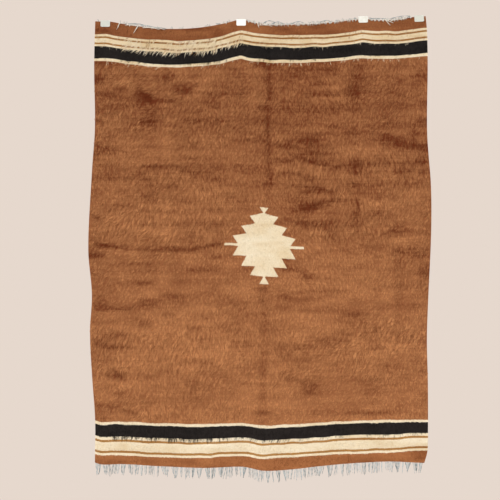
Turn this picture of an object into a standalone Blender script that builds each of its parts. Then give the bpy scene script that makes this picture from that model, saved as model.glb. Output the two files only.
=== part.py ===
"""A brushed goat-hair kilim that hangs by its top edge from four folded clips.

Metres, +Z up. X runs along the weft and Y from the front of the cloth to its back. The origin is the
middle of the top edge, in the plane in which the clips grip. Tables give their sizes in millimetres.
"""

import math
import random

import bmesh
import bpy
from mathutils import Matrix, Vector

MM = 0.001
GAP = 0.3 * MM  # between pieces that touch

# The cloth
CLOTH_DROP = 1.907  # mean length from the top edge to the last weft
CLOTH_THICK = 3.0 * MM
COLUMN_PITCH = 46 * MM
ROW_PITCH = 52 * MM
LEAST_PITCH = 9 * MM  # columns and rows nearer than this to the last one are left out

# The top edge: its left corner, the four clips and its right corner
EDGE = (
    # across, height, tilt in degrees, clip's bend off the edge, sag after it, where on the span it is deepest
    (-722, 13, 0.0, 0, 0, 0.50),
    (-676, 12, 1.0, 0, 37, 0.53),
    (-88, 17, 0.5, 0, 22, 0.38),
    (440, 22, -1.0, 8, 9, 0.45),
    (682, 33, -3.0, 1, 0, 0.50),
    (712, 36, 0.0, 0, 0, 0.50),
)
EDGE_REACH = 0.75  # how far down the scallops of the top edge die out
EDGE_LEAN = 0.42  # how far a sagging stretch leans forward, for each metre of sag
LEAN_REACH = 0.22

LEFT_SIDE = (
    # drop, across
    (-40, -719),
    (190, -724),
    (450, -720),
    (640, -733),
    (970, -749),
    (1170, -733),
    (1335, -741),
    (1530, -732),
    (1725, -719),
    (1907, -720),
)
RIGHT_SIDE = (
    # drop, across
    (-40, 706),
    (60, 716),
    (200, 719),
    (480, 716),
    (700, 732),
    (900, 733),
    (1180, 721),
    (1360, 715),
    (1560, 719),
    (1790, 719),
    (1860, 716),
    (1907, 703),
)
HEM = (
    # across, drop
    (-723, 1896),
    (-690, 1905),
    (-604, 1903),
    (-431, 1914),
    (-258, 1920),
    (-84, 1915),
    (11, 1931),
    (132, 1927),
    (262, 1912),
    (392, 1899),
    (565, 1892),
    (705, 1898),
)
HEM_REACH = 0.55  # how far up the unevenness of the hem dies out

# Creases left from folding, and the pulls below the clips. Depth is forward, so a trough is negative
FOLDS = (
    # across, drop, across at the end, drop at the end, half width, depth
    (28, 60, 37, 790, 19, -5.0),
    (20, 1130, 3, 1740, 19, -4.5),
    (-400, 170, -415, 1150, 30, 4.0),
    (404, 180, 408, 900, 26, -3.5),
    (598, 960, 602, 1330, 24, -3.5),
    (-735, 966, -170, 972, 17, -4.5),
    (120, 545, 320, 625, 22, -4.5),
    (320, 625, 720, 604, 20, -4.5),
    (-123, 1390, 5, 1500, 18, -4.0),
    (-670, 1515, -560, 1530, 18, -4.0),
    (-715, 1650, -530, 1668, 18, -4.5),
    (-105, 90, -300, 330, 34, 6.0),
    (-70, 95, -10, 400, 30, 5.0),
    (425, 90, 330, 330, 32, 5.0),
    (455, 90, 540, 300, 30, 4.5),
    (-655, 90, -560, 320, 32, 5.0),
    (665, 90, 610, 330, 32, 4.5),
)
# Broad swells of the cloth off the plane behind it
BILLOWS = (
    # across, drop, reach across, reach down, depth
    (-400, 420, 260, 300, 9.0),
    (190, 330, 200, 260, 7.0),
    (560, 800, 230, 330, 8.0),
    (-560, 1280, 230, 300, 8.0),
    (230, 1250, 330, 260, 6.0),
    (-220, 1640, 240, 240, 7.0),
    (470, 1700, 220, 240, 7.0),
)
RIPPLES = (
    # across, half width, depth at the hem
    (-640, 70, 9.0),
    (-380, 90, -5.0),
    (-180, 80, 7.0),
    (10, 60, 13.0),
    (190, 80, -4.0),
    (400, 90, 8.0),
    (640, 70, 11.0),
)
RIPPLE_REACH = 0.30
STAND_OFF = 9 * MM  # of the settled cloth, in front of the clips' plane
SETTLED = 0.45  # the drop at which it has come that far forward
WALL_CLEAR = 1.6 * MM  # the furthest back that the middle of the cloth may lie

# The clips, each a strip of springy sheet folded over the edge
CLIP_WIDTH = 41 * MM
CLIP_SHEET = 1.6 * MM
JAW_DROP = 23 * MM  # front leg, below the cloth's edge where the bend lies close to it
BACK_DROP = 32 * MM
JAW_LIP = 2.4 * MM  # how far the front leg's tip turns out
JAW_CORNER = 5 * MM
BEND_STEPS = 6
CORNER_STEPS = 3
GRIP_SIDE = 3.5 * MM  # flat cloth beside and below a clip
GRIP_EASE = 80 * MM  # the cloth is free of the grip at this distance
GRIP = CLIP_WIDTH / 2 + GRIP_SIDE
POINTED = 60 * MM  # the drop at which the wefts come to a point below a clip

# The fringes
STRIP_HEIGHT = 2.5 * MM  # the backing that the roots are fused into
STRIP_END = 3 * MM  # bare backing at each end
FRINGE_STRAND = 3.2 * MM
FRINGE_PITCH = 7.2 * MM
FRINGE_GAP = 9 * MM  # more, after each bunch
FRINGE_LENGTH = 49 * MM
FRINGE_BUNCH = (3, 7)
TOP_STRAND = 2.4 * MM
TOP_PITCH = 9.5 * MM
TOP_LENGTH = 10 * MM
# How many of the top edge's warp ends are left, from each place to the next
TOP_LEFT = (
    # across, share left
    (-722, 0.25),
    (-620, 0.85),
    (-415, 0.30),
    (-165, 0.95),
    (150, 0.75),
    (440, 0.95),
    (640, 0.50),
)
# Warp ends that have fallen forward over the cloth
FALLEN = (
    # across, reach across, length down the front
    (-610, -16, 27),
    (-529, -24, 29),
    (-18, 8, 20),
    (531, 26, 22),
)


def smooth(share):
    """From 0 to 1 with level ends."""
    share = min(max(share, 0.0), 1.0)
    return share * share * (3.0 - 2.0 * share)


def through(rows, at):
    """The second column at a place in the first, on a smooth curve through the rows, all in metres."""
    places = [row[0] * MM for row in rows]
    values = [row[1] * MM for row in rows]
    last = len(rows) - 1
    at = min(max(at, places[0]), places[last])
    k = 0
    while k < last - 1 and at > places[k + 1]:
        k += 1

    def slope(i):
        before, after = max(i - 1, 0), min(i + 1, last)
        return (values[after] - values[before]) / (places[after] - places[before])

    run = places[k + 1] - places[k]
    t = (at - places[k]) / run
    rise = values[k] * (2 * t**3 - 3 * t**2 + 1) + values[k + 1] * (3 * t**2 - 2 * t**3)
    return rise + run * (slope(k) * (t**3 - 2 * t**2 + t) + slope(k + 1) * (t**3 - t**2))


def edge_span(across, grip):
    """Height of the line between two clips that grip this far to each side, and the sag below it."""
    k = 0
    while k < len(EDGE) - 2 and across > EDGE[k + 1][0] * MM:
        k += 1
    start, height, tilt, _, depth, deepest = EDGE[k]
    end, next_height, next_tilt = EDGE[k + 1][:3]
    start_grip = grip if k > 0 else 0.0
    end_grip = grip if k < len(EDGE) - 2 else 0.0
    length = (end - start) * MM - start_grip - end_grip
    held = across - start * MM - start_grip
    share = min(max(held / length, 0.0), 1.0)
    high = height * MM - math.tan(math.radians(tilt)) * min(across - start * MM, start_grip)
    low = next_height * MM - math.tan(math.radians(next_tilt)) * max(across - end * MM, -end_grip)
    bent = share ** (math.log(0.5) / math.log(deepest))
    return high + (low - high) * share, depth * MM * 4.0 * bent * (1.0 - bent)


def edge_height(across, drop=0.0):
    """Height over the origin of the top edge, or of a weft parallel to it some way below.

    The edge is straight in each clip, and just below a clip a weft comes to a point.
    """
    heights = []
    for grip in (GRIP, 0.0):
        line, sag = edge_span(across, grip)
        middle_line, middle_sag = edge_span(0.0, grip)
        heights.append((line - sag) - (middle_line - middle_sag))
    return heights[0] + (heights[1] - heights[0]) * smooth(drop / POINTED)


def free_of_grip(across, drop):
    """0 where a clip holds the cloth flat, 1 well away from all of them."""
    free = 1.0
    for row in EDGE[1:-1]:
        beside = max(abs(across - row[0] * MM) - GRIP, 0.0)
        below = max(drop - BACK_DROP - GRIP_SIDE, 0.0)
        free *= smooth(math.hypot(beside, below) / GRIP_EASE)
    return free


def fold_depth(fold, across, drop):
    """What one crease adds, full along its line and dying out at its ends and sides."""
    start = Vector((fold[0] * MM, fold[1] * MM))
    end = Vector((fold[2] * MM, fold[3] * MM))
    half_width, depth = fold[4] * MM, fold[5] * MM
    line = end - start
    here = Vector((across, drop)) - start
    along = here.dot(line) / line.length_squared
    aside = abs(here.cross(line)) / line.length
    ease = min(3.0 * half_width / line.length, 0.5)
    ends = smooth(along / ease + 0.5) * smooth((1.0 - along) / ease + 0.5)
    return depth * ends * math.exp(-((aside / half_width) ** 2))


def stand_off(across, drop):
    """How far the middle of the cloth stands forward of the clips' plane."""
    out = STAND_OFF * smooth(drop / SETTLED)
    out += EDGE_LEAN * edge_span(across, GRIP)[1] * math.exp(-drop / LEAN_REACH)
    for fold in FOLDS:
        out += fold_depth(fold, across, drop)
    for place, depth_at, reach, reach_down, depth in BILLOWS:
        aside = (across - place * MM) / (reach * MM)
        below = (drop - depth_at * MM) / (reach_down * MM)
        out += depth * MM * math.exp(-(aside**2) - below**2)
    for place, half_width, depth in RIPPLES:
        aside = (across - place * MM) / (half_width * MM)
        out += depth * MM * math.exp(-(aside**2) - (CLOTH_DROP - drop) / RIPPLE_REACH)
    return max(out, -WALL_CLEAR) * free_of_grip(across, drop)


def on_cloth(share, drop):
    """The middle of the cloth's thickness at a share of its width and a distance below its edge."""
    left, right = through(LEFT_SIDE, drop), through(RIGHT_SIDE, drop)
    across = left + (right - left) * share
    scallop = edge_height(across, drop) * (1.0 - smooth(drop / EDGE_REACH))
    hang = CLOTH_DROP - through(HEM, across)
    hang *= smooth((drop - CLOTH_DROP + HEM_REACH) / HEM_REACH)
    return Vector((across, -stand_off(across, drop), scallop + hang - drop))


def cloth_frame(share, drop):
    """The middle of the cloth there, the way down along it, and the way out of its front."""
    step = 1 * MM
    low, high = max(share - step, 0.0), min(share + step, 1.0)
    above, below = max(drop - step, 0.0), min(drop + step, CLOTH_DROP)
    right = on_cloth(high, drop) - on_cloth(low, drop)
    down = on_cloth(share, below) - on_cloth(share, above)
    return on_cloth(share, drop), down.normalized(), down.cross(right).normalized()


def stations(length, pitch, wanted):
    """Places from 0 to the length: the wanted ones, and an even run between them."""
    wanted = sorted({0.0, length, *wanted})
    kept = [wanted[0]]
    for place in wanted[1:]:
        if place - kept[-1] < LEAST_PITCH:
            continue
        steps = max(round((place - kept[-1]) / pitch), 1)
        start = kept[-1]
        kept += [start + (place - start) * k / steps for k in range(1, steps + 1)]
    kept[-1] = length
    return kept


def new_object(name, mesh, material):
    mesh.materials.append(material)
    item = bpy.data.objects.new(name, mesh)
    bpy.context.collection.objects.link(item)
    return item


def mesh_from(name, bm, smooth_angle):
    bmesh.ops.recalc_face_normals(bm, faces=bm.faces)
    mesh = bpy.data.meshes.new(name)
    bm.to_mesh(mesh)
    bm.free()
    mesh.shade_smooth()
    mesh.set_sharp_from_angle(angle=math.radians(smooth_angle))
    return mesh


def plain_material(name, colour, roughness):
    material = bpy.data.materials.new(name)
    material.use_nodes = True
    shader = material.node_tree.nodes["Principled BSDF"]
    shader.inputs["Base Color"].default_value = (*colour, 1.0)
    shader.inputs["Roughness"].default_value = roughness
    shader.inputs["Metallic"].default_value = 0.0
    material.diffuse_color = (*colour, 1.0)
    return material


def cloth_columns():
    """Shares of the width, closer together beside the clips and in the middle crease."""
    width = (EDGE[-1][0] - EDGE[0][0]) * MM
    start = EDGE[0][0] * MM
    wanted = []
    for row in EDGE[1:-1]:
        wanted += [row[0] * MM - start + GRIP * k for k in (-1, 0, 1)]
    crease, end = FOLDS[0][0] * MM, FOLDS[0][4] * MM
    wanted += [crease - start + end * k for k in (-2, -1, 0, 1, 2)]
    return [place / width for place in stations(width, COLUMN_PITCH, wanted)]


def cloth_rows():
    """Distances below the edge, closer together under the clips and along the cross creases."""
    wanted = [BACK_DROP + GRIP_SIDE]
    for fold in FOLDS:
        level = abs(fold[3] - fold[1]) < abs(fold[2] - fold[0]) / 4
        if level:
            middle = (fold[1] + fold[3]) / 2
            wanted += [(middle + fold[4] * k) * MM for k in (-1.4, 0, 1.4)]
    return stations(CLOTH_DROP, ROW_PITCH, wanted)


def make_cloth(material):
    """One closed sheet: a front and a back with the same folds, joined round the rim."""
    bm = bmesh.new()
    front, back = [], []
    for drop in cloth_rows():
        faces = [cloth_frame(share, drop) for share in cloth_columns()]
        front.append([bm.verts.new(at + out * CLOTH_THICK / 2) for at, _, out in faces])
        back.append([bm.verts.new(at - out * CLOTH_THICK / 2) for at, _, out in faces])
    for k in range(len(front) - 1):
        for i in range(len(front[0]) - 1):
            for side in (front, back):
                corner, beside = side[k][i], side[k][i + 1]
                below, across = side[k + 1][i], side[k + 1][i + 1]
                bm.faces.new((corner, beside, across))
                bm.faces.new((corner, across, below))
    rim = front[0] + [row[-1] for row in front[1:]]
    rim += front[-1][-2::-1] + [row[0] for row in front[-2:0:-1]]
    behind = back[0] + [row[-1] for row in back[1:]]
    behind += back[-1][-2::-1] + [row[0] for row in back[-2:0:-1]]
    for k in range(len(rim)):
        bm.faces.new((rim[k - 1], rim[k], behind[k], behind[k - 1]))
    return new_object("rug_cloth", mesh_from("rug_cloth", bm, 60), material)


def on_edge(columns, across):
    """The cloth's frame on its edge, which its mesh keeps straight from column to column."""
    k = 0
    while k < len(columns) - 2 and across > columns[k + 1][0].x:
        k += 1
    before, after = columns[k], columns[k + 1]
    share = (across - before[0].x) / (after[0].x - before[0].x)
    return [start.lerp(end, share) for start, end in zip(before, after)]


def strip_places(columns, roots):
    """Places across where the strip has a section, each with the strand drawn from there on."""
    places = [(roots[0][0] - roots[0][1] / 2 - STRIP_END, None)]
    for across, width, path in roots:
        places.append((across - width / 2, path))
        places.append((across + width / 2, None))
    places.append((places[-1][0] + STRIP_END, None))
    bare = [(a, b) for (a, path), (b, _) in zip(places, places[1:]) if path is None]
    for at, _, _ in columns:
        if any(a + MM < at.x < b - MM for a, b in bare):
            places.append((at.x, None))
    return sorted(places, key=lambda place: place[0])


def fringe_mesh(name, drop, outward, roots):
    """A thin strip along an edge with strands drawn out of it.

    Each root is (place across, width, path). A path is rows of (across, outward, forward, size): the
    middle of a section of the strand, from its root, and its size as a share of the root's.
    """
    bm = bmesh.new()
    columns = [cloth_frame(share, drop) for share in cloth_columns()]
    places = strip_places(columns, roots)
    rings = []
    for across, _ in places:
        at, down, out = on_edge(columns, across)
        away = down * outward
        near, far = at + away * GAP, at + away * (GAP + STRIP_HEIGHT)
        half = out * CLOTH_THICK / 2
        rings.append([bm.verts.new(p) for p in (near + half, near - half, far - half, far + half)])
    bm.faces.new(rings[0])
    bm.faces.new(rings[-1])
    for k in range(len(rings) - 1):
        ring, after = rings[k], rings[k + 1]
        for side in (0, 1, 2):
            bm.faces.new((ring[side - 1], ring[side], after[side], after[side - 1]))
        path = places[k][1]
        section = [ring[3], after[3], after[2], ring[2]]
        if path is not None:
            section = draw_out(bm, section, path, outward)
        bm.faces.new(section)
    return mesh_from(name, bm, 40)


def draw_out(bm, section, path, outward):
    """Draws a strand out of its root along the path, and gives back its last section."""
    middle = sum((vert.co for vert in section), Vector()) / len(section)
    root = [vert.co - middle for vert in section]
    for across, away, forward, size in path:
        shift = Vector((across, -forward, -outward * away))
        ring = [bm.verts.new(middle + shift + corner * size) for corner in root]
        for k in range(len(ring)):
            bm.faces.new((section[k - 1], section[k], ring[k], ring[k - 1]))
        section = ring
    return section


def hanging_strand(rng, pull):
    """A warp end that hangs free: it leans the way its bunch is drawn and curls a little."""
    length = FRINGE_LENGTH * rng.uniform(0.82, 1.10)
    curl = rng.uniform(-2.0, 3.5) * MM
    lean = pull + rng.uniform(-0.5, 0.5) * MM
    return (
        (0.35 * lean, 0.45 * length, 0.4 * curl, 0.9),
        (lean, length, curl, 0.62),
    )


def make_fringe_bottom(material):
    rng = random.Random(11)
    start = through(LEFT_SIDE, CLOTH_DROP) + STRIP_END
    end = through(RIGHT_SIDE, CLOTH_DROP) - STRIP_END
    roots, across = [], start
    while across < end:
        count = rng.randint(*FRINGE_BUNCH)
        drawn = rng.uniform(-4.0, 4.0) * MM
        closing = rng.uniform(0.05, 0.35) * FRINGE_PITCH
        for k in range(count):
            if across > end:
                break
            pull = drawn - closing * (k - (count - 1) / 2)
            roots.append((across, FRINGE_STRAND, hanging_strand(rng, pull)))
            across += FRINGE_PITCH * rng.uniform(0.92, 1.12)
        across += FRINGE_GAP * rng.uniform(0.3, 1.0)
    mesh = fringe_mesh("fringe_bottom", CLOTH_DROP, 1.0, roots)
    return new_object("fringe_bottom", mesh, material)


def worn_strand(rng):
    """A short warp end at the top edge, bent over sideways."""
    length = TOP_LENGTH * rng.uniform(0.6, 1.2)
    lean = rng.choice((-1, 1)) * rng.uniform(0.15, 0.6)
    forward = rng.uniform(-0.5, 2.0) * MM
    rise = length * math.cos(lean)
    return ((length * math.sin(lean), rise, forward, 0.7),)


def fallen_strand(reach, length):
    """A warp end that has tipped over and lies down the front, clear of the cloth."""
    lift, clear = 3.5 * MM, CLOTH_THICK + 4 * MM
    return (
        (0.1 * reach, lift, 0.5 * CLOTH_THICK, 0.9),
        (0.2 * reach, 0.2 * lift, clear, 0.85),
        (reach, -length, clear, 0.6),
    )


def share_left(across):
    """Share of the top edge's warp ends that are left there."""
    return [row[1] for row in TOP_LEFT if row[0] * MM <= across][-1]


def make_fringe_top(material):
    rng = random.Random(23)
    start = through(LEFT_SIDE, 0.0) + 2 * STRIP_END
    end = through(RIGHT_SIDE, 0.0) - 2 * STRIP_END
    clips = [row[0] * MM for row in EDGE[1:-1]]
    fallen = {row[0] * MM: fallen_strand(row[1] * MM, row[2] * MM) for row in FALLEN}
    roots = [(across, TOP_STRAND, path) for across, path in fallen.items()]
    across = start
    while across < end:
        gripped = any(abs(across - place) < GRIP for place in clips)
        crowded = any(abs(across - place) < 1.5 * TOP_PITCH for place in fallen)
        if not gripped and not crowded and rng.random() < share_left(across):
            roots.append((across, TOP_STRAND, worn_strand(rng)))
        across += TOP_PITCH * rng.uniform(0.8, 1.3)
    mesh = fringe_mesh("fringe_top", 0.0, -1.0, sorted(roots, key=lambda root: root[0]))
    return new_object("fringe_top", mesh, material)


def clip_section(shortened):
    """Points round a clip's folded sheet, seen from its side, as (y, z) from the cloth's edge.

    The front leg is shortened by this much, which rounds the lower corners of the jaw.
    """
    inner = CLOTH_THICK / 2 + GAP
    outer = inner + CLIP_SHEET
    shoulder = math.sqrt(inner**2 - (CLOTH_THICK / 2) ** 2)
    bend = STRIP_HEIGHT + 2 * GAP - shoulder
    tip = -JAW_DROP + shortened
    turn = tip + 2 * JAW_LIP
    points = [(outer, -BACK_DROP)]
    arc = [math.pi * k / BEND_STEPS for k in range(BEND_STEPS + 1)]
    points += [(outer * math.cos(a), bend + outer * math.sin(a)) for a in arc]
    points += [(-outer, turn), (-outer - 0.6 * JAW_LIP, tip)]
    points += [(-inner - 0.6 * JAW_LIP, tip), (-inner, turn)]
    points += [(-inner * math.cos(a), bend + inner * math.sin(a)) for a in arc]
    points += [(inner, -BACK_DROP)]
    return points


def make_clip(number, across, height, tilt, material):
    """A sheet folded over the edge, as wide as the clip, with the jaw's lower corners rounded."""
    steps = [math.pi / 2 * k / CORNER_STEPS for k in range(CORNER_STEPS + 1)]
    half = CLIP_WIDTH / 2
    ends = [(half - JAW_CORNER * (1 - math.sin(a)), JAW_CORNER * (1 - math.cos(a))) for a in steps]
    cuts = [(-place, short) for place, short in reversed(ends)] + ends
    bm = bmesh.new()
    rings = []
    for place, shortened in cuts:
        points = clip_section(shortened)
        rings.append([bm.verts.new((place, y, z)) for y, z in points])
    bm.faces.new(rings[0])
    bm.faces.new(rings[-1])
    for ring, after in zip(rings, rings[1:]):
        for k in range(len(ring)):
            bm.faces.new((ring[k - 1], ring[k], after[k], after[k - 1]))
    name = f"clip_{number}"
    clip = new_object(name, mesh_from(name, bm, 35), material)
    turn = Matrix.Rotation(math.radians(tilt), 4, "Y")
    clip.matrix_world = Matrix.Translation((across, 0.0, height)) @ turn
    return clip


def main():
    for old in list(bpy.data.objects):
        bpy.data.objects.remove(old, do_unlink=True)
    hair = plain_material("brushed goat hair", (0.352, 0.140, 0.053), 0.95)
    warp = plain_material("warp yarn", (0.60, 0.63, 0.64), 0.9)
    plastic = plain_material("white polypropylene", (0.90, 0.89, 0.86), 0.4)
    make_cloth(hair)
    make_fringe_bottom(warp)
    make_fringe_top(warp)
    for number, row in enumerate(EDGE[1:-1], start=1):
        across = row[0] * MM
        make_clip(number, across, edge_height(across) + row[3] * MM, row[2], plastic)


main()
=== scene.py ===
"""The looks of a brushed goat-hair kilim that hangs by its top edge from four folded clips.

Metres, +Z up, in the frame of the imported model: X runs along the weft, Y from the front of the cloth to
its back, and the origin is the middle of the top edge. Tables give their sizes in millimetres.
"""

import math
import random

import bmesh
import bpy
import numpy as np
from mathutils import Matrix, Vector


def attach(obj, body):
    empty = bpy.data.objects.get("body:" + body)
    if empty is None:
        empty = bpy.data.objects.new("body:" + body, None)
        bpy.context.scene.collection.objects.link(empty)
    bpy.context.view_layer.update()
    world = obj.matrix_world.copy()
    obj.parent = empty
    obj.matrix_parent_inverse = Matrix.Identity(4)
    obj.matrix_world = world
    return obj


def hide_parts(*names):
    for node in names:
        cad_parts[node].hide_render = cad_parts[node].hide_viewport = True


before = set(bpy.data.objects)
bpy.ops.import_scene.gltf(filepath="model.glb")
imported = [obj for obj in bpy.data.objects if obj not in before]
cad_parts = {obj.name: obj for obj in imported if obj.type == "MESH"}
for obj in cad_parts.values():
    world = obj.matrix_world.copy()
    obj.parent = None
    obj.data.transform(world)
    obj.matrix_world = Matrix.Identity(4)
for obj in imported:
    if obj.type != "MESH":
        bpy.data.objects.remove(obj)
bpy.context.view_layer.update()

MM = 0.001

# The cloth, as it is cut and as it hangs
CLOTH_WIDTH = 1.45
CLOTH_DROP = 1.907
CLOTH_THICK = 3.0 * MM
CLOTH_COLUMNS = 150
CLOTH_ROWS = 194

EDGE = (
    # across, height, tilt in degrees, clip's bend off the edge, sag after it, its deepest share
    (-722, 13, 0.0, 0, 0, 0.50),
    (-676, 12, 1.0, 0, 37, 0.53),
    (-88, 17, 0.5, 0, 22, 0.38),
    (440, 22, -1.0, 8, 9, 0.45),
    (682, 33, -3.0, 1, 0, 0.50),
    (712, 36, 0.0, 0, 0, 0.50),
)
EDGE_REACH = 0.75
EDGE_LEAN = 0.42
LEAN_REACH = 0.22

LEFT_SIDE = (
    # drop, across
    (-40, -719),
    (190, -724),
    (450, -720),
    (640, -733),
    (970, -749),
    (1170, -733),
    (1335, -741),
    (1530, -732),
    (1725, -719),
    (1907, -720),
)
RIGHT_SIDE = (
    # drop, across
    (-40, 706),
    (60, 716),
    (200, 719),
    (480, 716),
    (700, 732),
    (900, 733),
    (1180, 721),
    (1360, 715),
    (1560, 719),
    (1790, 719),
    (1860, 716),
    (1907, 703),
)
HEM = (
    # across, drop
    (-723, 1896),
    (-690, 1905),
    (-604, 1903),
    (-431, 1914),
    (-258, 1920),
    (-84, 1915),
    (11, 1931),
    (132, 1927),
    (262, 1912),
    (392, 1899),
    (565, 1892),
    (705, 1898),
)
HEM_REACH = 0.55

FOLDS = (
    # across, drop, across at the end, drop at the end, half width, depth
    (28, 60, 37, 790, 19, -5.0),
    (20, 1130, 3, 1740, 19, -4.5),
    (-400, 170, -415, 1150, 30, 4.0),
    (404, 180, 408, 900, 26, -3.5),
    (598, 960, 602, 1330, 24, -3.5),
    (-735, 966, -170, 972, 17, -4.5),
    (120, 545, 320, 625, 22, -4.5),
    (320, 625, 720, 604, 20, -4.5),
    (-123, 1390, 5, 1500, 18, -4.0),
    (-670, 1515, -560, 1530, 18, -4.0),
    (-715, 1650, -530, 1668, 18, -4.5),
    (-105, 90, -300, 330, 34, 6.0),
    (-70, 95, -10, 400, 30, 5.0),
    (425, 90, 330, 330, 32, 5.0),
    (455, 90, 540, 300, 30, 4.5),
    (-655, 90, -560, 320, 32, 5.0),
    (665, 90, 610, 330, 32, 4.5),
)
BILLOWS = (
    # across, drop, reach across, reach down, depth
    (-400, 420, 260, 300, 9.0),
    (190, 330, 200, 260, 7.0),
    (560, 800, 230, 330, 8.0),
    (-560, 1280, 230, 300, 8.0),
    (230, 1250, 330, 260, 6.0),
    (-220, 1640, 240, 240, 7.0),
    (470, 1700, 220, 240, 7.0),
)
RIPPLES = (
    # across, half width, depth at the hem
    (-640, 70, 9.0),
    (-380, 90, -5.0),
    (-180, 80, 7.0),
    (10, 60, 13.0),
    (190, 80, -4.0),
    (400, 90, 8.0),
    (640, 70, 11.0),
)
RIPPLE_REACH = 0.30
STAND_OFF = 9 * MM
SETTLED = 0.45
WALL_CLEAR = 1.6 * MM

# The clips
CLIP_WIDTH = 41 * MM
CLIP_SHEET = 1.6 * MM
GAP = 0.3 * MM
JAW_DROP = 23 * MM
BACK_DROP = 32 * MM
JAW_LIP = 2.4 * MM
JAW_CORNER = 5 * MM
STRIP_HEIGHT = 2.5 * MM
GRIP = CLIP_WIDTH / 2 + 3.5 * MM
GRIP_SIDE = 3.5 * MM
GRIP_EASE = 80 * MM
POINTED = 60 * MM

# The woven bands at each end, from the edge inwards
TOP_BANDS = (
    # wool, width
    ("brown", 50),
    ("cream", 10),
    ("tan", 8),
    ("cream", 18),
    ("tan", 8),
    ("cream", 9),
    ("black", 53),
    ("cream", 12),
)
BOTTOM_BANDS = (
    # wool, width
    ("brown", 45),
    ("cream", 10),
    ("tan", 10),
    ("cream", 37),
    ("tan", 10),
    ("cream", 13),
    ("black", 50),
    ("cream", 12),
)
# How far the bands lie lower than their even distance from each edge, as uneven as they were beaten in
TOP_WANDER = (
    # across, lower by
    (-722, 9),
    (-656, 5),
    (-552, 2),
    (-448, 0),
    (-344, 2),
    (-188, 0),
    (-84, -10),
    (-32, -7),
    (175, -4),
    (300, 0),
    (380, 0),
    (440, -5),
    (590, 0),
    (712, 2),
)
BOTTOM_WANDER = (
    # across, lower by
    (-722, 8),
    (-656, 5),
    (-600, 8),
    (-396, 5),
    (-188, 1),
    (-32, -2),
    (75, -8),
    (175, -4),
    (331, 3),
    (513, 7),
    (591, 6),
    (643, -3),
    (710, -8),
)
WANDER_REACH = 0.30  # how far from each edge it dies out
BAND_SPAN = 0.25  # of the colour ramps that hold the bands
WOOLS = {
    # wool: (its colour in painted shade, its colour painted lit)
    "field": ("#6A2E10", "#D0905E"),
    "brown": ("#733A1C", "#C08050"),
    "cream": ("#DCC294", "#FCF4E0"),
    "black": ("#100D0C", "#2C2624"),
    "tan": ("#875326", "#C49658"),
}

# The stepped diamond: a stack of steps above and below an arm
DIAMOND_AT = (11 * MM, 965 * MM)
DIAMOND_TOP, DIAMOND_FOOT = 170 * MM, 159 * MM
NECK_HALF = 5 * MM
STEP_BASE = 113 * MM
STEP_FALL = 37 * MM
STEP_FLARE = 23 * MM
UPPER_START, UPPER_STEP = 10 * MM, 45.5 * MM
UPPER_LEAN, UPPER_STRETCH, UPPER_SHIFT = 0.27, 1.2165, 31 * MM
LOWER_START, LOWER_STEP = 5 * MM, 40.3 * MM
ARM_HALF, ARM_REACH = 5.5 * MM, 172 * MM
ARM_RISE = 4 * MM
WEFT_SLANT = 0.08  # the wefts fall to the right there
SLANT_REACH = 0.25

# The nap
CLUMP_ACROSS, CLUMP_DOWN = 9.5 * MM, 13 * MM
ROW_WOBBLE = 6 * MM
LOCKS = 11  # in a clump
LOCK_PIECES = 4
SMOOTH_LOCK, TUFTED_LOCK = 13 * MM, 30 * MM
BAND_LOCK = 12 * MM
DIAMOND_LOCK = 9 * MM
LOCK_WIDTH = 1.9 * MM
NAP_SEED = 7
MEAN_TONE = 0.67
# the wisps' lighter tone is a painted highlight, a sheen on the long hair
WISPS = 0.12  # share of the clumps that stand out as long light wisps, where the nap is tufted
COMBED_OVER = (
    # wool, start across, end across, start drop, end drop on the loom, share of its locks, their length
    ("cream", -590, -190, 50, 106, 0.45, 30),
    ("cream", -180, -80, 60, 106, 0.35, 26),
    ("black", -600, -520, 140, 158, 0.30, 20),
    ("black", -380, -150, 140, 158, 0.22, 19),
    ("black", -20, 60, 140, 158, 0.25, 20),
    ("black", 110, 250, 140, 158, 0.12, 16),
    ("black", -650, -210, 1764, 1784, 0.42, 26),
    ("black", -210, 130, 1764, 1784, 0.26, 22),
    ("black", 130, 460, 1764, 1784, 0.14, 18),
    ("black", 460, 690, 1764, 1784, 0.22, 20),
)
OVERHANG = {"field": 3 * MM, "brown": 1.5 * MM, "cream": 2.5 * MM, "black": 3 * MM, "tan": 1 * MM}
BAND_WAVER = 2.2 * MM

BACKGROUND = "#E6D8CD"


def srgb(code):
    """A linear colour from an sRGB hex value."""
    parts = [int(code[k : k + 2], 16) / 255 for k in (1, 3, 5)]
    return (*[c / 12.92 if c <= 0.04045 else ((c + 0.055) / 1.055) ** 2.4 for c in parts], 1.0)


# The hanging cloth


def smooth(share):
    share = np.clip(share, 0.0, 1.0)
    return share * share * (3.0 - 2.0 * share)


def through(rows, at):
    """The second column at places in the first, on a smooth curve through the rows."""
    places = np.array([row[0] for row in rows]) * MM
    values = np.array([row[1] for row in rows]) * MM
    slopes = np.gradient(values)
    slopes[1:-1] = (values[2:] - values[:-2]) / (places[2:] - places[:-2])
    slopes[0] /= places[1] - places[0]
    slopes[-1] /= places[-1] - places[-2]
    at = np.clip(at, places[0], places[-1])
    k = np.clip(np.searchsorted(places, at, side="left") - 1, 0, len(rows) - 2)
    run = places[k + 1] - places[k]
    t = (at - places[k]) / run
    rise = values[k] * (2 * t**3 - 3 * t**2 + 1) + values[k + 1] * (3 * t**2 - 2 * t**3)
    return rise + run * (slopes[k] * (t**3 - 2 * t**2 + t) + slopes[k + 1] * (t**3 - t**2))


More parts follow.
